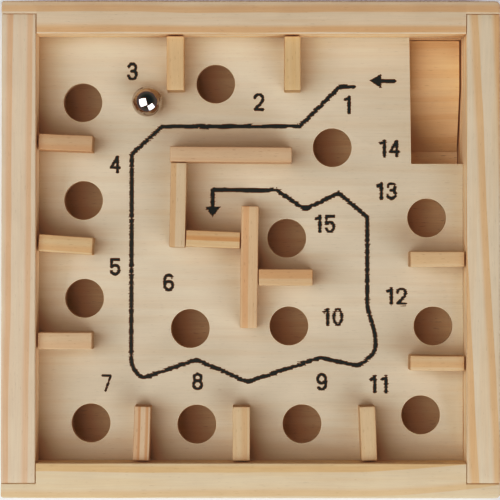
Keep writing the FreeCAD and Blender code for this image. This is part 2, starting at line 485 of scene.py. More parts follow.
# %% [markdown]
# ## The printing
# The way through the maze, the arrow at its start and the numbers were printed on the board with
# a soft stamp, and the ink crept a little along the grain. Each mark is worked out as a distance:
# how far a place on the board is from the middle line of the nearest stroke. Where that distance
# is less than half the stroke's width there is ink. Adding a small unevenness that is long along
# the grain and short across it makes the ragged edges. The inked cells become a closed film a few
# hundredths of a millimetre thick, with its edge points moved onto the exact outline.

# %% Helpers for ink
ink_above = 0.025 * MM
ink_below = 0.02 * MM
creep_draw = np.random.default_rng(7)
creep_along = creep_draw.normal(0, 0.55, 60)[:, None]
creep_across = creep_draw.uniform(2.0, 17.0, 60)[:, None]
creep_phase = creep_draw.uniform(0, 2 * math.pi, 60)[:, None]


def creep(x, y):
    """How far ink has crept at places in mm: the mean of sixty sine waves whose crests lie nearly
    along X, so that it changes slowly along the grain and quickly across it."""
    flat = np.sin(creep_along * x.ravel() + creep_across * y.ravel() + creep_phase)
    return flat.sum(axis=0).reshape(x.shape) / math.sqrt(30)


def stroke_distance(x, y, line):
    """Distance in mm from each place to a line through points: the least over its pieces, where
    the nearest point of a piece is at share t = clamp((p - a).(b - a) / |b - a|^2)."""
    nearest = np.full(x.shape, 1e9)
    for (ax, ay), (bx, by) in zip(line[:-1], line[1:]):
        dx = bx - ax
        dy = by - ay
        t = np.clip(((x - ax) * dx + (y - ay) * dy) / (dx * dx + dy * dy), 0, 1)
        nearest = np.minimum(nearest, np.hypot(x - ax - t * dx, y - ay - t * dy))
    return nearest


def wedge_distance(x, y, corners):
    """Signed distance in mm to a convex shape with its corners in anticlockwise order: the
    greatest of the distances to the lines of its edges."""
    corners = np.asarray(corners, float)
    deepest = np.full(x.shape, -1e9)
    for (ax, ay), (bx, by) in zip(corners, np.roll(corners, -1, axis=0)):
        length = math.hypot(bx - ax, by - ay)
        deepest = np.maximum(deepest, ((by - ay) * (x - ax) - (bx - ax) * (y - ay)) / length)
    return deepest


def ink_film(distance, x0, x1, y0, y1, cell, reach=0.07):
    """Points and faces of the closed film where distance(x, y) + creep is below zero, in mm on a
    grid of cells. Points less than 0.6 cell from the outline are moved onto it along the slope."""
    x, y = np.meshgrid(np.arange(x0, x1, cell), np.arange(y0, y1, cell))
    d = distance(x, y) - reach * creep(x, y)
    slope_y, slope_x = np.gradient(d, cell)
    steep = np.maximum(slope_x**2 + slope_y**2, 0.2)
    close = abs(d) < 0.6 * cell
    x = np.where(close, x - d * slope_x / steep, x)
    y = np.where(close, y - d * slope_y / steep, y)
    inked = (d < 0) | close
    number = np.arange(x.size).reshape(x.shape)
    corner = [number[:-1, :-1], number[:-1, 1:], number[1:, 1:], number[1:, :-1]]
    wet = [inked[:-1, :-1], inked[:-1, 1:], inked[1:, 1:], inked[1:, :-1]]
    total = sum(w.astype(int) for w in wet)
    deep = (d < 0)[:-1, :-1] | (d < 0)[:-1, 1:] | (d < 0)[1:, 1:] | (d < 0)[1:, :-1]
    whole = (total == 4) & deep
    quads = np.stack([c[whole] for c in corner], axis=-1)
    threes = []
    for k in range(4):
        lacking = (total == 3) & ~wet[k] & deep
        threes.append(np.stack([corner[(k + j) % 4][lacking] for j in (1, 2, 3)], axis=-1))
    threes = np.concatenate(threes)
    edges = np.concatenate(
        [quads[:, [j, (j + 1) % 4]] for j in range(4)] + [threes[:, [j, (j + 1) % 3]] for j in range(3)]
    )
    key = edges[:, 0].astype(np.int64) * x.size + edges[:, 1]
    back = edges[:, 1].astype(np.int64) * x.size + edges[:, 0]
    rim_edges = edges[~np.isin(key, back)]
    used = np.unique(np.concatenate([quads.ravel(), threes.ravel()]))
    place = np.full(x.size, -1)
    place[used] = np.arange(len(used))
    top = np.stack([x.ravel()[used], y.ravel()[used], np.zeros(len(used))], axis=-1) * MM
    low = top.copy()
    top[:, 2] = board_top + ink_above
    low[:, 2] = board_top - ink_below
    n = len(used)
    quads = place[quads]
    threes = place[threes]
    rim_edges = place[rim_edges]
    walls = np.stack(
        [rim_edges[:, 1], rim_edges[:, 0], rim_edges[:, 0] + n, rim_edges[:, 1] + n], axis=-1
    )
    faces = quads.tolist() + threes.tolist() + walls.tolist()
    faces += (quads[:, ::-1] + n).tolist() + (threes[:, ::-1] + n).tolist()
    return np.concatenate([top, low]), faces


# %% [markdown]
# The route is one line with some corners sharp and some rounded, and an arrow head at its end. The
# rounded corners are the same quadratic curve that eases the outlines above.

# %% Print the route and the start arrow
route_width = 1.12
route_cell = 0.14
route_reach = 0.12
start_width = 1.0
start_cell = 0.1
route = [
    (27.3, 43.4, 0), (23.7, 43.4, 0), (13.1, 32.9, 0), (-23.6, 32.7, 0), (-31.6, 25.4, 0.3),
    (-31.7, -31.2, 2.4), (-28.8, -34.2, 1.2), (-14.4, -29.2, 0.5), (-0.8, -35.1, 0.5),
    (18.6, -28.6, 0.5), (28.9, -30.9, 1.6), (33.3, -27.0, 2.0), (33.1, -22.3, 1.5),
    (31.0, -15.2, 1.5), (31.0, 8.7, 0.5), (23.4, 15.1, 0), (14.4, 10.7, 1.6), (6.9, 15.9, 0),
    (-10.1, 15.8, 0), (-10.1, 11.1, 0),
]


def bent_line(stops):
    """A line through stops (x, y, cut): a corner with a cut becomes a quadratic curve."""
    line = [stops[0][:2]]
    for before, here, after in zip(stops[:-2], stops[1:-1], stops[2:]):
        c = np.array(here[:2])
        if here[2] == 0:
            line.append(tuple(c))
            continue
        back = np.array(before[:2]) - c
        ahead = np.array(after[:2]) - c
        a = c + here[2] * back / np.linalg.norm(back)
        b = c + here[2] * ahead / np.linalg.norm(ahead)
        t = np.linspace(0, 1, 5)[:, None]
        line += [tuple(p) for p in (1 - t) ** 2 * a + 2 * t * (1 - t) * c + t**2 * b]
    return line + [stops[-1][:2]]


def route_shape(x, y):
    """The route's stroke joined with the arrow head that ends it."""
    stroke = stroke_distance(x, y, bent_line(route)) - route_width / 2
    head = wedge_distance(x, y, [(-10.1, 8.6), (-8.1, 11.4), (-12.1, 11.4)])
    return np.minimum(stroke, head)


def start_shape(x, y):
    """A short stroke and the head of the arrow that shows where the ball starts."""
    stroke = stroke_distance(x, y, [(38.2, 44.9), (34.4, 44.9)]) - start_width / 2
    head = wedge_distance(x, y, [(31.6, 45.0), (34.7, 43.0), (34.7, 46.8)])
    return np.minimum(stroke, head)


printed = [
    add_piece(
        "printed_route",
        *ink_film(route_shape, -34, 36, -37, 46, route_cell, route_reach),
        sharp=30,
    ),
    add_piece(
        "printed_start_arrow", *ink_film(start_shape, 30.5, 40, 42, 48, start_cell), sharp=30
    ),
]

# %% [markdown]
# The numbers are a plain narrow sans of our own drawing: each digit is a few strokes round a box
# 2.12 by 3.96 mm between middle lines, made from straight runs and arcs of ellipses.

# %% Print the numbers
digit_half_width = 1.06
digit_half_height = 1.98
digit_stroke = 0.8
own_stroke = {"1": 0.92, "7": 0.56}
lone_one_shift = -0.1
number_cell = 0.09
number_half_box = (4, 3.2)


def arc(cx, cy, rx, ry, start, end, steps=14):
    """Points on an ellipse from one angle to another, in degrees."""
    turn = np.radians(np.linspace(start, end, steps))
    return list(zip(cx + rx * np.cos(turn), cy + ry * np.sin(turn)))


w = digit_half_width
h = digit_half_height
loop_ry = 1.16
digits = {
    "0": [arc(0, 0, w, h, 0, 360, 30)],
    "1": [[(0.3, -h), (0.3, h)], [(0.3, h - 0.05), (0.05, h - 0.35), (-0.65, h - 0.62)]],
    "2": [
        arc(0, h - 1.0, w, 1.0, 175, 0) + arc(0, h - 1.0, w, 1.6, -6, -40, 5)
        + [(-w + 0.05, -h + 0.05), (w, -h)]
    ],
    "3": [
        arc(0, h - 0.95, 0.95, 0.95, 165, -75) + [(-0.15, 0.1)],
        [(-0.15, 0.1)] + arc(0, -h + 1.1, w, 1.1, 80, -165),
    ],
    "4": [
        [(0.55, h), (-w, -h + 1.15), (w, -h + 1.05)],
        [(0.6, h), (0.6, -h)],
    ],
    "5": [
        [(w - 0.1, h), (-w + 0.15, h), (-w + 0.1, 0.12)]
        + arc(-0.02, -h + 1.25, w, 1.25, 140, -155)
    ],
    "6": [
        arc(0, -h + loop_ry, w, loop_ry, 0, 360, 24),
        [(-w, -h + loop_ry)] + arc(0, h - 1.3, w, 1.3, 180, 40),
    ],
    "7": [[(-w, h), (w, h), (-0.3, -h)]],
    "8": [
        arc(0, h - 0.92, 0.93, 0.92, 0, 360, 24),
        arc(0, -h + 1.12, w, 1.12, 0, 360, 24),
    ],
    "9": [
        arc(0, h - loop_ry, w, loop_ry, 0, 360, 24),
        [(w, h - loop_ry)] + arc(0, -h + 1.3, w, 1.3, 0, -140),
    ],
}
number_places = {
    "1": (25.95, 38.6), "2": (2.15, 39.3), "3": (-31.5, 47.4), "4": (-36.0, 22.65),
    "5": (-36.0, -4.6), "6": (-21.75, -8.7), "7": (-38.2, -35.5), "8": (-14.05, -35.0),
    "9": (18.9, -35.1), "10": (21.8, -17.85), "11": (34.3, -35.65), "12": (38.7, -12.3),
    "13": (36.05, 15.65), "14": (36.85, 26.95), "15": (19.7, 6.85),
}
first_digit_step = -1.6
second_digit_step = 1.38
reach_of_digits = {1: 0.06, 2: 0.1}


def number_shape(text, cx, cy):
    """The distance field of one number: the least over the strokes of its digits."""
    steps = [0.0] if len(text) == 1 else [first_digit_step, second_digit_step]
    strokes = []
    for letter, step in zip(text, steps):
        width = own_stroke.get(letter, digit_stroke)
        shift = lone_one_shift if text == "1" else 0.0
        for line in digits[letter]:
            strokes.append(([(px + cx + step + shift, py + cy) for px, py in line], width))

    def shape(x, y):
        fields = [stroke_distance(x, y, line) - width / 2 for line, width in strokes]
        return np.minimum.reduce(fields)

    return shape


ink_points = []
ink_faces = []
for text, (cx, cy) in number_places.items():
    half_x, half_y = number_half_box
    points, faces = ink_film(
        number_shape(text, cx, cy),
        cx - half_x, cx + half_x, cy - half_y, cy + half_y,
        number_cell, reach_of_digits[len(text)],
    )
    shift = sum(len(p) for p in ink_points)
    ink_points.append(points)
    ink_faces += [[i + shift for i in face] for face in faces]
printed.append(add_piece("printed_numbers", np.concatenate(ink_points), ink_faces, sharp=30))

# %% [markdown]
# ## Nodes
# Every finish below is a small network. These helpers add one node, one sum or one group, so that
# the networks read as short lists.

# %% Helpers for nodes
def paint(red, green, blue):
    """A colour given as 0 to 255 on a screen, as the linear colour that a shader wants."""
    screen = np.array([red, green, blue]) / 255
    linear = np.where(screen <= 0.04045, screen / 12.92, ((screen + 0.055) / 1.055) ** 2.4)
    return (*linear.tolist(), 1.0)


def add_node(tree, kind, values=(), **settings):
    """Adds one node. values are pairs of an input and a number or the output that feeds it."""
    made = tree.nodes.new(kind)
    for key, value in settings.items():
        setattr(made, key, value)
    for key, value in values:
        if isinstance(value, bpy.types.NodeSocket):
            tree.links.new(value, made.inputs[key])
        else:
            made.inputs[key].default_value = value
    return made


def sum_of(tree, operation, a, b=0.0):
    """One Math node."""
    return add_node(tree, "ShaderNodeMath", [(0, a), (1, b)], operation=operation).outputs[0]


def ramp_of(tree, value, low, high, to_low=0.0, to_high=1.0):
    """A smooth step: to_low below low, to_high above high."""
    made = add_node(
        tree,
        "ShaderNodeMapRange",
        [("Value", value), ("From Min", low), ("From Max", high), ("To Min", to_low), ("To Max", to_high)],
        interpolation_type="SMOOTHSTEP",
    )
    return made.outputs["Result"]


def blend_of(tree, share, a, b, how="MIX"):
    """One Mix node on colours."""
    made = add_node(tree, "ShaderNodeMix", data_type="RGBA", blend_type=how)
    for key, value in (("Factor_Float", share), ("A_Color", a), ("B_Color", b)):
        socket = next(s for s in made.inputs if s.identifier == key)
        if isinstance(value, bpy.types.NodeSocket):
            tree.links.new(value, socket)
        else:
            socket.default_value = value
    return next(s for s in made.outputs if s.identifier == "Result_Color")


def stretched_noise(tree, place, along, across, detail=2.0, rough=0.5, shift=0.0):
    """Noise in mm that is along times per mm along the grain and across times per mm across it."""
    scaled = add_node(
        tree,
        "ShaderNodeMapping",
        [("Vector", place), ("Location", (shift, shift, shift)), ("Scale", (along, across, across))],
    )
    noise = add_node(
        tree,
        "ShaderNodeTexNoise",
        [("Vector", scaled.outputs[0]), ("Scale", 1.0), ("Detail", detail), ("Roughness", rough)],
    )
    return noise.outputs[0]


def new_group(name, inputs, outputs):
    """A shader node group with named sockets. Returns the group, its entry and its exit node."""
    group = bpy.data.node_groups.new(name, "ShaderNodeTree")
    for label, kind, value in inputs:
        socket = group.interface.new_socket(label, in_out="INPUT", socket_type="NodeSocket" + kind)
        socket.default_value = value
    for label, kind in outputs:
        group.interface.new_socket(label, in_out="OUTPUT", socket_type="NodeSocket" + kind)
    return group, group.nodes.new("NodeGroupInput").outputs, group.nodes.new("NodeGroupOutput").inputs


def use_group(tree, group, values):
    """Places a group in a material with its own values."""
    made = tree.nodes.new("ShaderNodeGroup")
    made.node_tree = group
    for key, value in values.items():
        if isinstance(value, bpy.types.NodeSocket):
            tree.links.new(value, made.inputs[key])
        else:
            made.inputs[key].default_value = value
    return made.outputs


# %% [markdown]
# ## Wood
# Softwood is a stack of cones: pale early wood and a darker band of late wood each year. Sawn into
# a bar it shows bands on the top, wider bands on a side and arcs on the ends. The honest way to
# get all three at once is to work the rings out in space, as the distance from a pith line, and
# let each face cut through them. The late wood darkens slowly and stops suddenly, so a band has a
# soft and a sharp side. Where the saw left the run of the grain, the bands drift or bend away.

# %% Group: growth rings
rings_group, put, get = new_group(
    "growth_rings",
    [
        ("Place", "Vector", (0, 0, 0)),
        ("Pith Across", "Float", 40.0),
        ("Pith Up", "Float", -20.0),
        ("Ring Spacing", "Float", 4.0),
        ("Ring Phase", "Float", 0.0),
        ("Late Share", "Float", 0.35),
        ("Waver", "Float", 0.5),
        ("Drift", "Float", 0.0),
        ("Bend Start", "Float", 1000.0),
        ("Bend", "Float", 0.0),
    ],
    [("Late Wood", "Float"), ("Ring Tone", "Float")],
)
tree = rings_group
xyz = add_node(tree, "ShaderNodeSeparateXYZ", [("Vector", put["Place"])]).outputs
from_pith_y = sum_of(tree, "SUBTRACT", xyz["Y"], put["Pith Across"])
from_pith_z = sum_of(tree, "SUBTRACT", xyz["Z"], put["Pith Up"])
squares = sum_of(
    tree,
    "ADD",
    sum_of(tree, "MULTIPLY", from_pith_y, from_pith_y),
    sum_of(tree, "MULTIPLY", from_pith_z, from_pith_z),
)
radius = sum_of(tree, "SQRT", squares)
slow = stretched_noise(tree, put["Place"], 0.022, 0.09, 2.0)
uneven = sum_of(tree, "MULTIPLY", sum_of(tree, "SUBTRACT", slow, 0.5), put["Waver"])
drifted = sum_of(tree, "MULTIPLY", xyz["X"], put["Drift"])
past = sum_of(tree, "MAXIMUM", sum_of(tree, "SUBTRACT", xyz["X"], put["Bend Start"]), 0.0)
bent = sum_of(tree, "MULTIPLY", sum_of(tree, "MULTIPLY", past, past), put["Bend"])
moved = sum_of(tree, "ADD", sum_of(tree, "ADD", radius, uneven), sum_of(tree, "ADD", drifted, bent))
years = sum_of(tree, "ADD", sum_of(tree, "DIVIDE", moved, put["Ring Spacing"]), put["Ring Phase"])
share = sum_of(tree, "FRACT", years)
first_late = sum_of(tree, "SUBTRACT", 1.0, put["Late Share"])
full_late = sum_of(tree, "SUBTRACT", 1.0, sum_of(tree, "MULTIPLY", put["Late Share"], 0.45))
rising = ramp_of(tree, share, first_late, full_late)
stopping = ramp_of(tree, share, 0.95, 1.0, 1.0, 0.0)
tone = add_node(
    tree, "ShaderNodeTexWhiteNoise", [("W", sum_of(tree, "FLOOR", years))], noise_dimensions="1D"
).outputs["Value"]
tree.links.new(sum_of(tree, "MULTIPLY", rising, stopping), get["Late Wood"])
tree.links.new(tone, get["Ring Tone"])
print("group", rings_group.name, len(rings_group.nodes), "nodes")

# %% [markdown]
# Between the rings there is finer stuff: fibres a few tenths of a millimetre apart, broader streaks
# where one part of the tree took up more resin, short dark pores or resin ducts, and a slow change
# of tone from place to place. All are noise stretched along the grain.

# %% Group: fibre
fibre_group, put, get = new_group(
    "wood_fibre",
    [
        ("Place", "Vector", (0, 0, 0)),
    ],
    [("Fibre", "Float"), ("Streak", "Float"), ("Pores", "Float"), ("Cloud", "Float")],
)
tree = fibre_group
fine = stretched_noise(tree, put["Place"], 0.09, 2.6, 3.0, 0.6)
broad = stretched_noise(tree, put["Place"], 0.025, 0.55, 2.0, 0.5, 7.3)
ducts = stretched_noise(tree, put["Place"], 0.45, 4.5, 1.0, 0.5, 3.1)
cloud = stretched_noise(tree, put["Place"], 0.11, 0.16, 2.0, 0.5, 11.9)
tree.links.new(fine, get["Fibre"])
tree.links.new(ramp_of(tree, broad, 0.42, 0.68), get["Streak"])
tree.links.new(ramp_of(tree, ducts, 0.66, 0.76), get["Pores"])
tree.links.new(cloud, get["Cloud"])
print("group", fibre_group.name, len(fibre_group.nodes), "nodes")

# %% [markdown]
# The finish joins those masks into a colour, a roughness and a height. It is shared by the rails,
# the sticks, the ramp and the panels, each with its own colours. Ends cut across the grain drink
# more of the sealer and come out darker. One more input is painted light: it makes the upright
# faces along a bar brighter, standing in for light that falls on them.

# %% Group: sanded wood
end_darkening = 0.22
finish_group, put, get = new_group(
    "sanded_wood",
    [
        ("Early", "Color", (0.7, 0.5, 0.3, 1)),
        ("Late", "Color", (0.5, 0.3, 0.1, 1)),
        ("Resin", "Color", (0.6, 0.4, 0.2, 1)),
        ("Late Wood", "Float", 0.0),
        ("Ring Tone", "Float", 0.5),
        ("Fibre", "Float", 0.5),
        ("Streak", "Float", 0.0),
        ("Pores", "Float", 0.0),
        ("Cloud", "Float", 0.5),
        ("Cut End", "Float", 0.0),
        ("Painted Side Light", "Float", 0.0),
        ("Band Strength", "Float", 0.8),
        ("Streak Strength", "Float", 0.3),
        ("Fibre Strength", "Float", 0.16),
        ("Cloud Strength", "Float", 0.14),
        ("Pore Strength", "Float", 0.25),
    ],
    [("Color", "Color"), ("Roughness", "Float"), ("Height", "Float")],
)
tree = finish_group
band = sum_of(tree, "MULTIPLY", put["Late Wood"], put["Band Strength"])
ring_share = ramp_of(tree, put["Ring Tone"], 0.0, 1.0, 0.7, 1.0)
banded = blend_of(tree, sum_of(tree, "MULTIPLY", band, ring_share), put["Early"], put["Late"])
streaked = blend_of(
    tree, sum_of(tree, "MULTIPLY", put["Streak"], put["Streak Strength"]), banded, put["Resin"]
)
lift = sum_of(tree, "MULTIPLY", sum_of(tree, "SUBTRACT", put["Fibre"], 0.5), put["Fibre Strength"])
drift = sum_of(tree, "MULTIPLY", sum_of(tree, "SUBTRACT", put["Cloud"], 0.5), put["Cloud Strength"])
level = sum_of(tree, "ADD", 1.0, sum_of(tree, "ADD", lift, drift))
level = sum_of(
    tree, "MULTIPLY", level,
    sum_of(tree, "SUBTRACT", 1.0, sum_of(tree, "MULTIPLY", put["Pores"], put["Pore Strength"])),
)
level = sum_of(
    tree, "MULTIPLY", level,
    sum_of(tree, "SUBTRACT", 1.0, sum_of(tree, "MULTIPLY", put["Cut End"], end_darkening)),
)
# Painted light: the upright faces along a bar are made brighter by this share.
level = sum_of(tree, "MULTIPLY", level, sum_of(tree, "ADD", 1.0, put["Painted Side Light"]))
grey = add_node(tree, "ShaderNodeCombineColor", [("Red", level), ("Green", level), ("Blue", level)])
colour = blend_of(tree, 1.0, streaked, grey.outputs[0], "MULTIPLY")
rough = sum_of(tree, "ADD", 0.5, sum_of(tree, "MULTIPLY", put["Fibre"], 0.18))
rough = sum_of(tree, "SUBTRACT", rough, sum_of(tree, "MULTIPLY", band, 0.08))
rough = sum_of(tree, "ADD", rough, sum_of(tree, "MULTIPLY", put["Cut End"], 0.12))
height = sum_of(tree, "ADD", sum_of(tree, "MULTIPLY", put["Fibre"], 0.5), sum_of(tree, "MULTIPLY", band, 0.4))
height = sum_of(tree, "SUBTRACT", height, sum_of(tree, "MULTIPLY", put["Pores"], 0.6))
tree.links.new(colour, get["Color"])
tree.links.new(rough, get["Roughness"])
tree.links.new(height, get["Height"])
print("group", finish_group.name, len(finish_group.nodes), "nodes")

# %% [markdown]
# A material puts the three groups one after another. Its Mapping node moves the pattern to the
# piece and turns it so that X runs along the grain, and gives the groups millimetres. Gloss stays
# in the shader: a thin matt sealer, with the roughness and the bump from the fibre.

# %% Make a wood material
wood_bump = 0.02 * MM


def new_material(name):
    """An empty material with a Principled shader."""
    material = bpy.data.materials.new(name)
    material.use_nodes = True
    tree = material.node_tree
    return material, tree, tree.nodes["Principled BSDF"]


def grain_place(tree, centre, turn):
    """Object coordinates in mm, moved to centre and turned so that X is along the grain."""
    coordinates = tree.nodes.new("ShaderNodeTexCoord")
    mapping = add_node(
        tree,
        "ShaderNodeMapping",
        [("Vector", coordinates.outputs["Object"]), ("Location", tuple(centre)),
         ("Rotation", (0, 0, turn)), ("Scale", (MM, MM, MM))],
        vector_type="TEXTURE",
    )
    return mapping.outputs[0]


def facing(tree, turn):
    """A mask that is 1 where a face looks along the direction at an angle of turn round Z, or
    against it: the absolute value of normal . direction, through a smooth step."""
    geometry_node = tree.nodes.new("ShaderNodeNewGeometry")
    dot = add_node(
        tree,
        "ShaderNodeVectorMath",
        [(0, geometry_node.outputs["Normal"]), (1, (math.cos(turn), math.sin(turn), 0))],
        operation="DOT_PRODUCT",
    )
    return ramp_of(tree, sum_of(tree, "ABSOLUTE", dot.outputs["Value"]), 0.75, 0.95)


def wood(
    name, early, late, resin, centre=(0, 0, 0), turn=0.0, rings=None, looks=None, painted_side_light=0.0
):
    """A sanded wood: growth rings and fibre in space, then the finish. The last argument is the share
    by which the upright faces along the grain are painted brighter: painted light."""
    material, tree, shader = new_material(name)
    place = grain_place(tree, centre, turn)
    ring = use_group(tree, rings_group, {"Place": place, **(rings or {})})
    fibre = use_group(tree, fibre_group, {"Place": place})
    masks = {key: fibre[key] for key in ("Fibre", "Streak", "Pores", "Cloud")}
    masks.update({key: ring[key] for key in ("Late Wood", "Ring Tone")})
    # Painted light: a mask of the upright faces along the grain, times the share by which they are painted
    # brighter.
    side_light_paint = sum_of(tree, "MULTIPLY", facing(tree, turn + math.pi / 2), painted_side_light)
    finish = use_group(
        tree,
        finish_group,
        {"Early": paint(*early), "Late": paint(*late), "Resin": paint(*resin),
         "Cut End": facing(tree, turn), "Painted Side Light": side_light_paint, **masks, **(looks or {})},
    )
    relief = add_node(
        tree, "ShaderNodeBump",
        [("Height", finish["Height"]), ("Strength", 0.6), ("Distance", wood_bump)],
    )
    tree.links.new(finish["Color"], shader.inputs["Base Color"])
    tree.links.new(finish["Roughness"], shader.inputs["Roughness"])
    tree.links.new(relief.outputs[0], shader.inputs["Normal"])
    shader.inputs["Specular IOR Level"].default_value = 0.3
    return material


# %% [markdown]
# ## Pine rails
# Each rail came from another board, so each has its own pith and spacing. The table gives, on the
# rim, where one sharp edge of a band lies and how far it is to the next. The ring spacing and the
# phase follow from those and the pith: spacing is the difference of the two radii, and the phase
# makes a whole number of years at the band's edge. The upright faces are painted 28% brighter than
# the tops. That is painted light, a plain correction so that the inner faces of the tray come out light
# enough.

# %% Finish the rails
rim_mm = rim / MM
# Painted light: the share by which the upright faces of the rails are painted brighter than the tops.
painted_upright_light = 0.28
front_bend = {"Bend Start": 22.0, "Bend": 0.0011}
rail_looks = {
    "rail_rear": dict(
        turn=0.0, pith=(95.0, -8.0), edge=61.95, gap=-5.25, share=0.5, drift=0.0,
        early=(213, 194, 167), late=(207, 172, 134), resin=(211, 183, 150),
    ),
    "rail_left": dict(
        turn=math.pi / 2, pith=(95.0, 2.0), edge=62.55, gap=-5.1, share=0.45, drift=-0.0072,
        early=(216, 198, 172), late=(211, 176, 143), resin=(214, 189, 160),
    ),
    "rail_front": dict(
        turn=0.0, pith=(-18.0, -25.0), edge=-58.3, gap=-6.4, share=0.45, drift=0.0,
        early=(218, 200, 170), late=(213, 182, 141), resin=(217, 192, 153),
    ),
    "rail_right": dict(
        turn=math.pi / 2, pith=(-20.0, -12.0), edge=-62.5, gap=-5.5, share=0.5, drift=0.034,
        early=(216, 200, 174), late=(212, 177, 138), resin=(215, 189, 154),
    ),
}


def rail_rings(look):
    """Ring values from where the bands lie on the rim."""
    across, up = look["pith"]
    first = math.hypot(look["edge"] - across, rim_mm - up)
    second = math.hypot(look["edge"] + look["gap"] - across, rim_mm - up)
    spacing = abs(second - first)
    return {
        "Pith Across": across, "Pith Up": up, "Ring Spacing": spacing,
        "Ring Phase": math.ceil(first / spacing) - first / spacing,
        "Late Share": look["share"], "Drift": look["drift"], "Waver": 1.1,
    }


for node, look in rail_looks.items():
    rings = rail_rings(look)
    if node == "rail_front":
        rings.update(front_bend)
    material = wood(
        "pine_" + node, look["early"], look["late"], look["resin"], turn=look["turn"], rings=rings,
        painted_side_light=painted_upright_light,
        looks={"Streak Strength": 0.35, "Band Strength": 0.95, "Pore Strength": 0.14},
    )
    rails[node].data.materials.append(material)
    print(material.name, "ring spacing", round(rings["Ring Spacing"], 2), "mm")

# %% [markdown]
# ## Wall sticks
# The strip for the sticks is a warmer, plainer wood, but every stick was cut from another place: one
# has an orange stripe, one is pale on one side. The table gives each stick its tones and the place
# and width of its own band; the mapping turns the grain to the stick.

# %% Finish the sticks
gold = (210, 184, 148)
pale = (210, 186, 153)
orange = (201, 159, 116)
stick_looks = {
    "stick_rear_left": ((213, 185, 148), (208, 171, 130), 6.0, 0.2, 0.5),
    "stick_rear_right": ((212, 185, 147), (206, 175, 130), 3.1, 0.6, 0.4),
    "stick_left_upper": ((200, 173, 141), (192, 151, 114), 5.0, 0.1, 0.5),
    "stick_left_middle": (gold, orange, 4.4, 0.35, 0.5),
    "stick_left_lower": ((209, 184, 153), (202, 169, 136), 5.2, 0.7, 0.5),
    "stick_right_upper": ((213, 187, 153), (209, 175, 137), 7.0, 0.3, 0.4),
    "stick_right_lower": ((213, 187, 153), (208, 167, 124), 4.6, 0.45, 0.5),
    "stick_front_left": ((208, 184, 155), (187, 139, 96), 1.9, 0.4, 0.7),
    "stick_front_middle": (pale, (202, 169, 132), 4.2, 0.3, 0.6),
    "stick_front_right": (pale, (202, 171, 134), 6.5, 0.2, 0.4),
    "stick_middle_upright": ((212, 184, 151), (207, 164, 124), 4.6, 0.5, 0.7),
    "stick_middle_arm": ((207, 179, 145), (202, 159, 116), 6.0, 0.5, 0.6),
    "stick_middle_link": ((210, 183, 147), (196, 147, 96), 3.6, 0.6, 0.8),
    "stick_inner_wall": ((209, 187, 157), (201, 167, 128), 4.6, 0.8, 0.7),
    "stick_top_bar": ((205, 179, 149), (199, 163, 128), 6.5, 0.4, 0.4),
}
for node, (early, late, spacing, phase, strength) in stick_looks.items():
    centre, along = stick_frame(node)[:2]
    number = stick_names.index(node)
    material = wood(
        "strip_" + node, early, late, late,
        centre=tuple(centre), turn=math.atan2(along[1], along[0]),
        rings={
            "Pith Across": 25.0 + number, "Pith Up": -4.0 + 3.0 * math.sin(number),
            "Ring Spacing": spacing, "Ring Phase": phase, "Late Share": 0.5, "Waver": 1.2,
        },
        looks={"Band Strength": strength, "Streak Strength": 0.3, "Fibre Strength": 0.14},
    )
    sticks[node].data.materials.append(material)
print(len(stick_looks), "stick materials")

# %% Finish the ramp
ramp_middle = (ramp_low + ramp_high) / 2
ramp.data.materials.append(
    wood(
        "ramp_wood", (229, 199, 162), (220, 181, 137), (224, 189, 147), centre=tuple(ramp_middle),
        rings={"Pith Across": 30.0, "Pith Up": 20.0, "Ring Spacing": 6.0, "Late Share": 0.4, "Waver": 4.0},
        looks={"Band Strength": 0.5, "Streak Strength": 0.3, "Pore Strength": 0.14},
    )
)

# %% [markdown]
# ## Plywood
# The play board and the base panel are three-ply. A peeled veneer has almost no rings, only fine
# fibre, so the face uses the fibre and finish groups alone. On an edge the plies show: a mask
# tells how upright a face is, and the height in the panel picks the ply. The middle ply runs
# across, so its edge is darker, and a thin dark glue line lies on each side of it.

# %% Group: plies on an edge
ply_group, put, get = new_group(
    "ply_edge",
    [
        ("Place", "Vector", (0, 0, 0)),
        ("Panel Bottom", "Float", 0.0),
        ("Panel Thickness", "Float", 3.0),
        ("Face Color", "Color", (0.7, 0.5, 0.3, 1)),
        ("Core Color", "Color", (0.4, 0.25, 0.12, 1)),
        ("On Edge", "Float", 0.0),
    ],
    [("Color", "Color")],
)
glue_colour = (0.12, 0.06, 0.03, 1)
glue_strength = 0.6
tree = ply_group
xyz = add_node(tree, "ShaderNodeSeparateXYZ", [("Vector", put["Place"])]).outputs
depth = sum_of(
    tree, "DIVIDE", sum_of(tree, "SUBTRACT", xyz["Z"], put["Panel Bottom"]), put["Panel Thickness"]
)
off_middle = sum_of(tree, "ABSOLUTE", sum_of(tree, "SUBTRACT", depth, 0.5))
core = ramp_of(tree, off_middle, 0.16, 0.18, 1.0, 0.0)
glue = sum_of(
    tree,
    "MULTIPLY",
    ramp_of(tree, off_middle, 0.14, 0.165),
    ramp_of(tree, off_middle, 0.175, 0.2, 1.0, 0.0),
)
edge_colour = blend_of(tree, core, put["Face Color"], put["Core Color"])
glued = sum_of(tree, "MULTIPLY", glue, glue_strength)
edge_colour = blend_of(tree, glued, edge_colour, glue_colour)
tree.links.new(blend_of(tree, put["On Edge"], put["Face Color"], edge_colour), get["Color"])

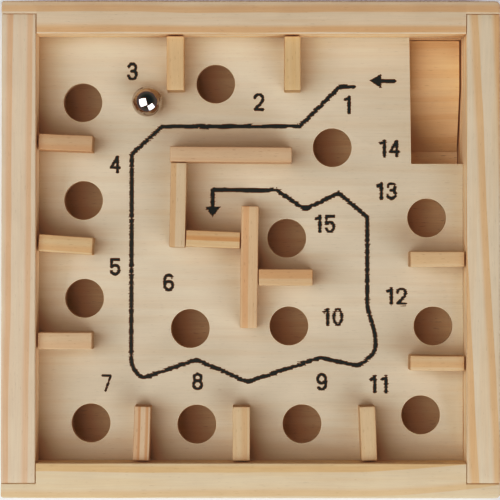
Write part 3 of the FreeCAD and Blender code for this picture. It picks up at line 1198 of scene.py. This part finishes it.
# %% Finish the panels
def plywood(name, face, resin, core, bottom, thickness, looks):
    """A three-ply panel: fibre on its faces and plies on its edges."""
    material, tree, shader = new_material(name)
    place = grain_place(tree, (0, 0, 0), 0.0)
    fibre = use_group(tree, fibre_group, {"Place": place})
    masks = {key: fibre[key] for key in ("Fibre", "Streak", "Pores", "Cloud")}
    finish = use_group(
        tree,
        finish_group,
        {"Early": paint(*face), "Late": paint(*resin), "Resin": paint(*resin), **masks, **looks},
    )
    upright = add_node(
        tree, "ShaderNodeSeparateXYZ",
        [("Vector", tree.nodes.new("ShaderNodeNewGeometry").outputs["Normal"])],
    ).outputs["Z"]
    on_edge = ramp_of(tree, sum_of(tree, "ABSOLUTE", upright), 0.35, 0.7, 1.0, 0.0)
    plies = use_group(
        tree,
        ply_group,
        {"Place": place, "Panel Bottom": bottom / MM, "Panel Thickness": thickness / MM,
         "Face Color": finish["Color"], "Core Color": paint(*core), "On Edge": on_edge},
    )
    relief = add_node(
        tree, "ShaderNodeBump",
        [("Height", finish["Height"]), ("Strength", 0.5), ("Distance", 0.015 * MM)],
    )
    tree.links.new(plies["Color"], shader.inputs["Base Color"])
    tree.links.new(finish["Roughness"], shader.inputs["Roughness"])
    tree.links.new(relief.outputs[0], shader.inputs["Normal"])
    shader.inputs["Specular IOR Level"].default_value = 0.3
    return material


board.data.materials.append(
    plywood(
        "board_plywood", (211, 197, 173), (206, 185, 156), (194, 160, 124), board_low[2],
        board_high[2] - board_low[2],
        {"Streak Strength": 0.35, "Fibre Strength": 0.13, "Cloud Strength": 0.1, "Pore Strength": 0.12},
    )
)
panel = frame["nodes"]["base_panel"]
panel.data.materials.clear()
panel.data.materials.append(
    plywood(
        "panel_plywood", (248, 222, 188), (240, 206, 166), (204, 170, 134), panel_low[2],
        panel_high[2] - panel_low[2],
        {"Streak Strength": 0.6, "Fibre Strength": 0.25, "Cloud Strength": 0.2, "Pore Strength": 0.3},
    )
)
print("plywood on", board.name, "and", panel.name)

# %% [markdown]
# ## Ink
# Printing ink is thin, matt and not quite even: a blue black that is paler where less was laid
# down, with a few specks of wood showing through.

# %% Finish the printing
ink, tree, shader = new_material("printing_ink")
place = grain_place(tree, (0, 0, 0), 0.0)
weight = stretched_noise(tree, place, 0.5, 1.6, 3.0, 0.6)
specks = ramp_of(tree, stretched_noise(tree, place, 2.2, 4.0, 2.0, 0.6, 5.0), 0.68, 0.76)
dry = blend_of(tree, ramp_of(tree, weight, 0.35, 0.7), paint(9, 16, 24), paint(20, 29, 38))
tree.links.new(
    blend_of(tree, sum_of(tree, "MULTIPLY", specks, 0.5), dry, paint(96, 92, 84)),
    shader.inputs["Base Color"],
)
tree.links.new(ramp_of(tree, weight, 0.3, 0.7, 0.45, 0.7), shader.inputs["Roughness"])
shader.inputs["Specular IOR Level"].default_value = 0.25
for piece in printed:
    piece.data.materials.append(ink)

# %% [markdown]
# ## Steel
# The ball is a hardened bearing ball. Its polish is nearly a mirror; handling leaves a faint haze
# and hair scratches, which are very thin stretched noise in the bump.

# %% Finish the ball
steel, tree, shader = new_material("polished_steel")
place = grain_place(tree, tuple(ball_centre), 0.4)
haze = stretched_noise(tree, place, 0.35, 0.5, 3.0, 0.6)
hair = stretched_noise(tree, place, 0.8, 14.0, 2.0, 0.5)
tree.links.new(blend_of(tree, haze, paint(196, 193, 190), paint(206, 204, 200)), shader.inputs["Base Color"])
tree.links.new(ramp_of(tree, haze, 0.35, 0.75, 0.04, 0.11), shader.inputs["Roughness"])
relief = add_node(tree, "ShaderNodeBump", [("Height", hair), ("Strength", 0.12), ("Distance", 0.004 * MM)])
tree.links.new(relief.outputs[0], shader.inputs["Normal"])
shader.inputs["Metallic"].default_value = 1.0
ball.data.materials.append(steel)

# %% [markdown]
# ## Studio
# A plain pale floor and two square soft lights, one high on the left and one lower at the front
# right. Their size matters more than their power: each is about as wide as it is far away, which
# gives the broad soft shadows behind the walls. The surroundings are dim and only a little lighter
# near the horizon, so that the steel mirrors a dark room with two bright windows. The floor ends
# where the lights still reach it. The camera looks straight down from about 0.6 m.

# %% Floor and surroundings
floor_half = 0.7
floor_points = np.array([(-1, -1, 0), (1, -1, 0), (1, 1, 0), (-1, 1, 0)], float) * floor_half
floor_mesh = bpy.data.meshes.new("floor")
floor_mesh.from_pydata(floor_points.tolist(), [], [(0, 1, 2, 3)])
floor = bpy.data.objects.new("floor", floor_mesh)
bpy.context.scene.collection.objects.link(floor)
floor_paint, tree, shader = new_material("floor_paint")
shader.inputs["Base Color"].default_value = (0.93, 0.93, 0.93, 1)
shader.inputs["Roughness"].default_value = 0.8
floor_mesh.materials.append(floor_paint)

world = bpy.data.worlds.new("studio")
bpy.context.scene.world = world
world.use_nodes = True
tree = world.node_tree
background = tree.nodes["Background"]
rays = tree.nodes.new("ShaderNodeLightPath").outputs
direction = tree.nodes.new("ShaderNodeTexCoord").outputs["Generated"]
height = add_node(tree, "ShaderNodeSeparateXYZ", [("Vector", direction)]).outputs["Z"]
dim = (0.017, 0.021, 0.027, 1)
less_dim = (0.07, 0.1, 0.135, 1)
mirrored = blend_of(tree, ramp_of(tree, height, 0.3, 0.8, 1.0, 0.0), dim, less_dim)
seen = blend_of(tree, rays["Is Glossy Ray"], (0.04, 0.036, 0.032, 1), mirrored)
seen = blend_of(tree, rays["Is Camera Ray"], seen, (0.95, 0.95, 0.95, 1))
tree.links.new(seen, background.inputs["Color"])

# %% Lights
def soft_light(name, centre, edge, size, power, reach=1.2):
    """A square light at reach metres from the middle of the board, facing it. centre is its
    direction, edge the direction of one side, and size its width as a share of the distance."""
    centre = Vector(centre).normalized()
    side = Vector(edge)
    side = (side - side.project(centre)).normalized()
    up = centre.cross(side)
    lamp = bpy.data.lights.new(name, "AREA")
    lamp.shape = "SQUARE"
    lamp.size = size * reach
    lamp.energy = power
    light = bpy.data.objects.new(name, lamp)
    bpy.context.scene.collection.objects.link(light)
    light.location = centre * reach + Vector((0, 0, board_top))
    light.rotation_euler = Matrix((side, up, centre)).transposed().to_euler()
    light.visible_camera = False
    print(name, "size", round(lamp.size, 3), "m")
    return light


left_power = 11.2
right_power = 6.9
soft_light("softbox_left", (-0.511, -0.148, 0.847), (0.84, 0.186, 0.51), 1.09, left_power)
soft_light("softbox_right", (0.506, -0.673, 0.541), (0.258, -0.481, -0.839), 0.81, right_power)

# %% Camera
above_rim = 0.58586
camera_data = bpy.data.cameras.new("camera")
camera_data.sensor_width = 36.0
camera_data.lens = 161.45
camera_data.clip_start = 0.01
camera = bpy.data.objects.new("camera", camera_data)
bpy.context.scene.collection.objects.link(camera)
camera.location = (-0.0001, -0.00632, rim + above_rim)
camera.rotation_euler = (0.0105, 0.0001, 0.0008)
bpy.context.scene.camera = camera
print("camera", round((camera.location.z - rim) / MM), "mm above the rim")

# %% [markdown]
# A camera adds contrast of its own. Here shaded wood should look redder than lit wood and not only
# darker, which takes more contrast in blue than in red. The curves below do that on top of the
# plain Standard view: each pair is light in, light out. They are a fit to the tones wanted on the
# board, one channel at a time, and not the response of any measured camera.

# %% Camera response
response = {
    0: [
        (0.015, 0.017), (0.04, 0.058), (0.087, 0.116), (0.161, 0.172),
        (0.268, 0.296), (0.418, 0.5), (0.6, 0.74),
    ],
    1: [
        (0.015, 0.0155), (0.042, 0.036), (0.089, 0.064), (0.162, 0.13),
        (0.27, 0.262), (0.404, 0.475), (0.6, 0.74),
    ],
    2: [
        (0.015, 0.012), (0.041, 0.022), (0.089, 0.05), (0.158, 0.118),
        (0.209, 0.184), (0.3, 0.335), (0.6, 0.74),
    ],
}
view = bpy.context.scene.view_settings
view.view_transform = "Standard"
view.use_curve_mapping = True
for channel, pairs in response.items():
    curve = view.curve_mapping.curves[channel]
    for light_in, light_out in pairs:
        curve.points.new(light_in, light_out)
view.curve_mapping.update()
print("response curves with", [len(c.points) for c in view.curve_mapping.curves], "points")
